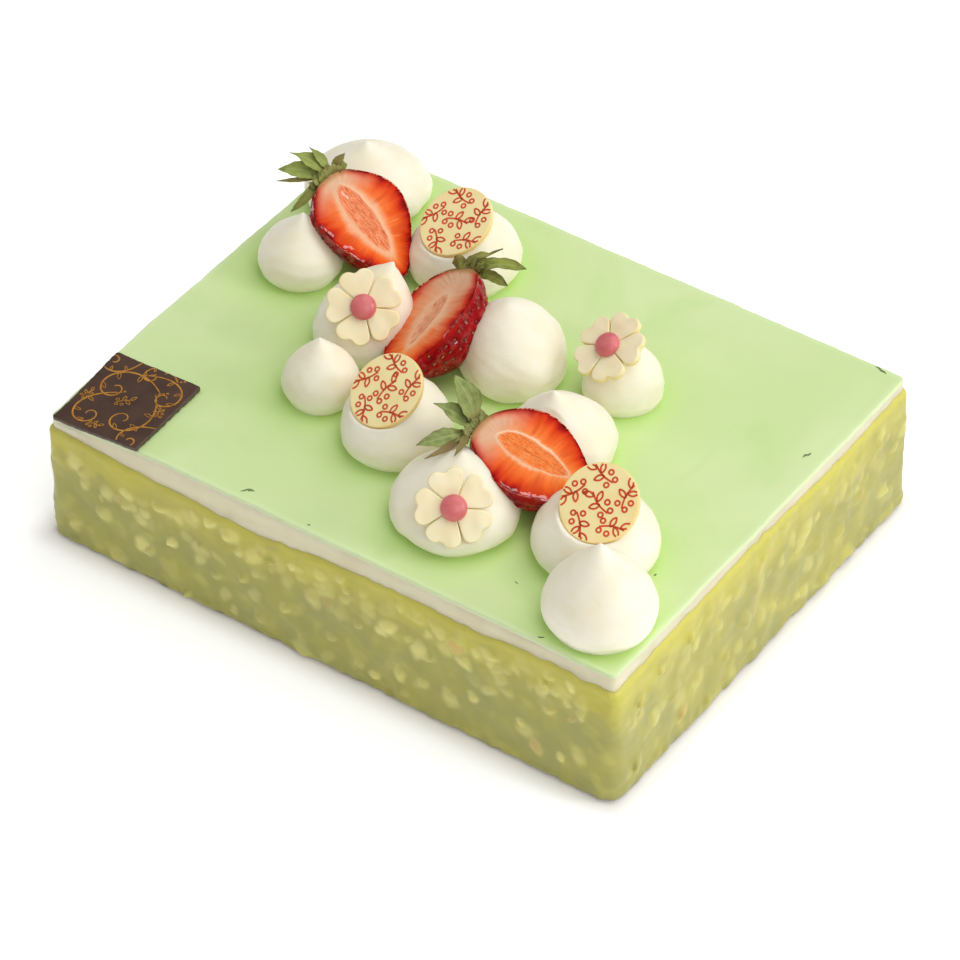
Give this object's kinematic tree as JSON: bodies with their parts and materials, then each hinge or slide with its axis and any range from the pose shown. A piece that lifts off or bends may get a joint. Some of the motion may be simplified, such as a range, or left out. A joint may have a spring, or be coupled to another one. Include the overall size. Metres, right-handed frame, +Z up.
{
  "type": "entremet",
  "caption": "Rectangular mousse cake with a nut-coated side, a bare cream band, a green glaze, piped cream kisses, strawberry halves, chocolate flowers, discs and a plaque.",
  "frame": {"origin": "centre of the cake's underside", "axes": "+X along a long side, +Y along a short side, +Z up through the glaze"},
  "size_m": [0.2234, 0.1753, 0.0883],
  "materials": {
    "nut_coating": "pistachio-coloured chocolate coating with chopped nuts under it, soft sheen",
    "cream": "set mousse, smooth and matt",
    "glaze": "smooth translucent glaze, satin gloss",
    "kiss": "whipped cream, smooth and slightly translucent",
    "strawberry": "wet cut strawberry, glossy",
    "leaf": "strawberry leaf, matt with dry brown edges",
    "flower": "moulded white chocolate, satin",
    "flower_centre": "pink sugar paste, satin",
    "disc": "printed white chocolate, satin",
    "dark_chocolate": "dark chocolate with a gold ornament, satin"
  },
  "bodies": {
    "root": {"coated_base": "nut_coating", "cream_layer": "cream", "glaze": "glaze", "kiss_back_left": "kiss", "kiss_left": "kiss", "kiss_back": "kiss", "kiss_flower_left": "kiss", "kiss_front_small": "kiss", "kiss_disc_left": "kiss", "kiss_middle_round": "kiss", "kiss_right_small": "kiss", "kiss_middle_right": "kiss", "kiss_flower_front": "kiss", "kiss_disc_right": "kiss", "kiss_front_tall": "kiss", "strawberry_left": "strawberry", "strawberry_middle": "strawberry", "strawberry_right": "strawberry", "calyx_left": "leaf", "calyx_middle": "leaf", "calyx_right": "leaf", "flower_left": "flower", "flower_back": "flower", "flower_front": "flower", "flower_centre_left": "flower_centre", "flower_centre_back": "flower_centre", "flower_centre_front": "flower_centre", "disc_back": "disc", "disc_left": "disc", "disc_right": "disc", "chocolate_plaque": "dark_chocolate"}
  },
  "joints": []
}
